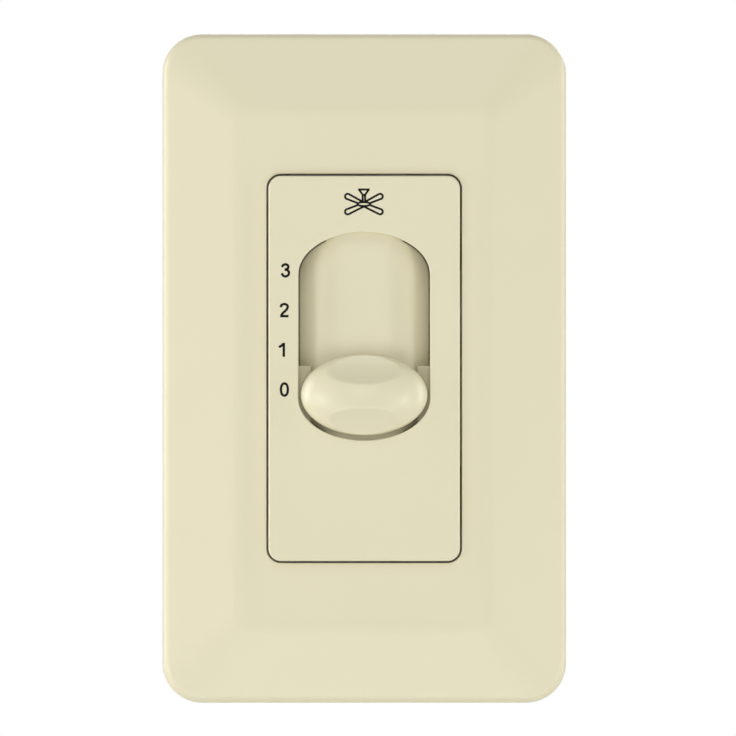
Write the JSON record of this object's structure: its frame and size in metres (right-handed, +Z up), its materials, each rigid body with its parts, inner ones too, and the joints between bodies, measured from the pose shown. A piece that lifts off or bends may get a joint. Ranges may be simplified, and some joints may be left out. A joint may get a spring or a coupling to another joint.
{
  "type": "fan speed control switch",
  "caption": "Wall-mounted fan speed control: an oval knob slides up a saddle in a rectangular ivory face, framed by a bevelled clip-on plate over a steel strap and a moulded case.",
  "frame": {"origin": "centre of the wall plate on the wall surface that its rear rim rests against", "axes": "+Z up the wall, -Y out of the wall towards the user, +X to the user's right"},
  "size_m": [0.069, 0.0442, 0.1142],
  "materials": {
    "ivory_plate": "moulded, satin gloss",
    "ivory_face": "moulded, satin gloss",
    "ivory_knob": "moulded, gloss",
    "frame_plastic": "moulded, matte",
    "zinc_steel": "zinc plated",
    "spring_steel": "tempered strip",
    "fibre": "vulcanised fibre",
    "phenolic": "moulded, matte black",
    "board": "laminate",
    "contact_brass": "plain",
    "tinned_wire": "tinned",
    "capacitor_case": "boxed, potted",
    "resistor_body": "lacquered",
    "ground_green": "green plated",
    "dial_ink": "printed"
  },
  "bodies": {
    "housing": {"wall_plate": "ivory_plate", "face_bezel": "ivory_face", "plate_frame": "frame_plastic", "mounting_strap": "zinc_steel", "box_screws": "zinc_steel", "plate_frame_screws": "zinc_steel", "case_screws": "zinc_steel", "board_screws": "zinc_steel", "screw_retainers": "fibre", "insulator_sheet": "fibre", "rear_case": "phenolic", "circuit_board": "board", "position_contacts": "contact_brass", "common_bus": "contact_brass", "terminal_plates": "contact_brass", "terminal_screws": "contact_brass", "capacitor_leads": "tinned_wire", "resistor_leads": "tinned_wire", "speed_capacitor_low": "capacitor_case", "speed_capacitor_medium": "capacitor_case", "bleed_resistors": "resistor_body", "ground_screw": "ground_green"},
    "slider": {"slide_knob": "ivory_knob", "slide_carriage": "ivory_knob", "detent_spring": "spring_steel", "wiper_contact": "contact_brass"}
  },
  "joints": [
    {"name": "speed_slide", "type": "slide", "parent": "housing", "child": "slider", "axis": [0, 0, 1], "range_m": [0, 0.0204], "deforming": ["detent_spring"]}
  ]
}
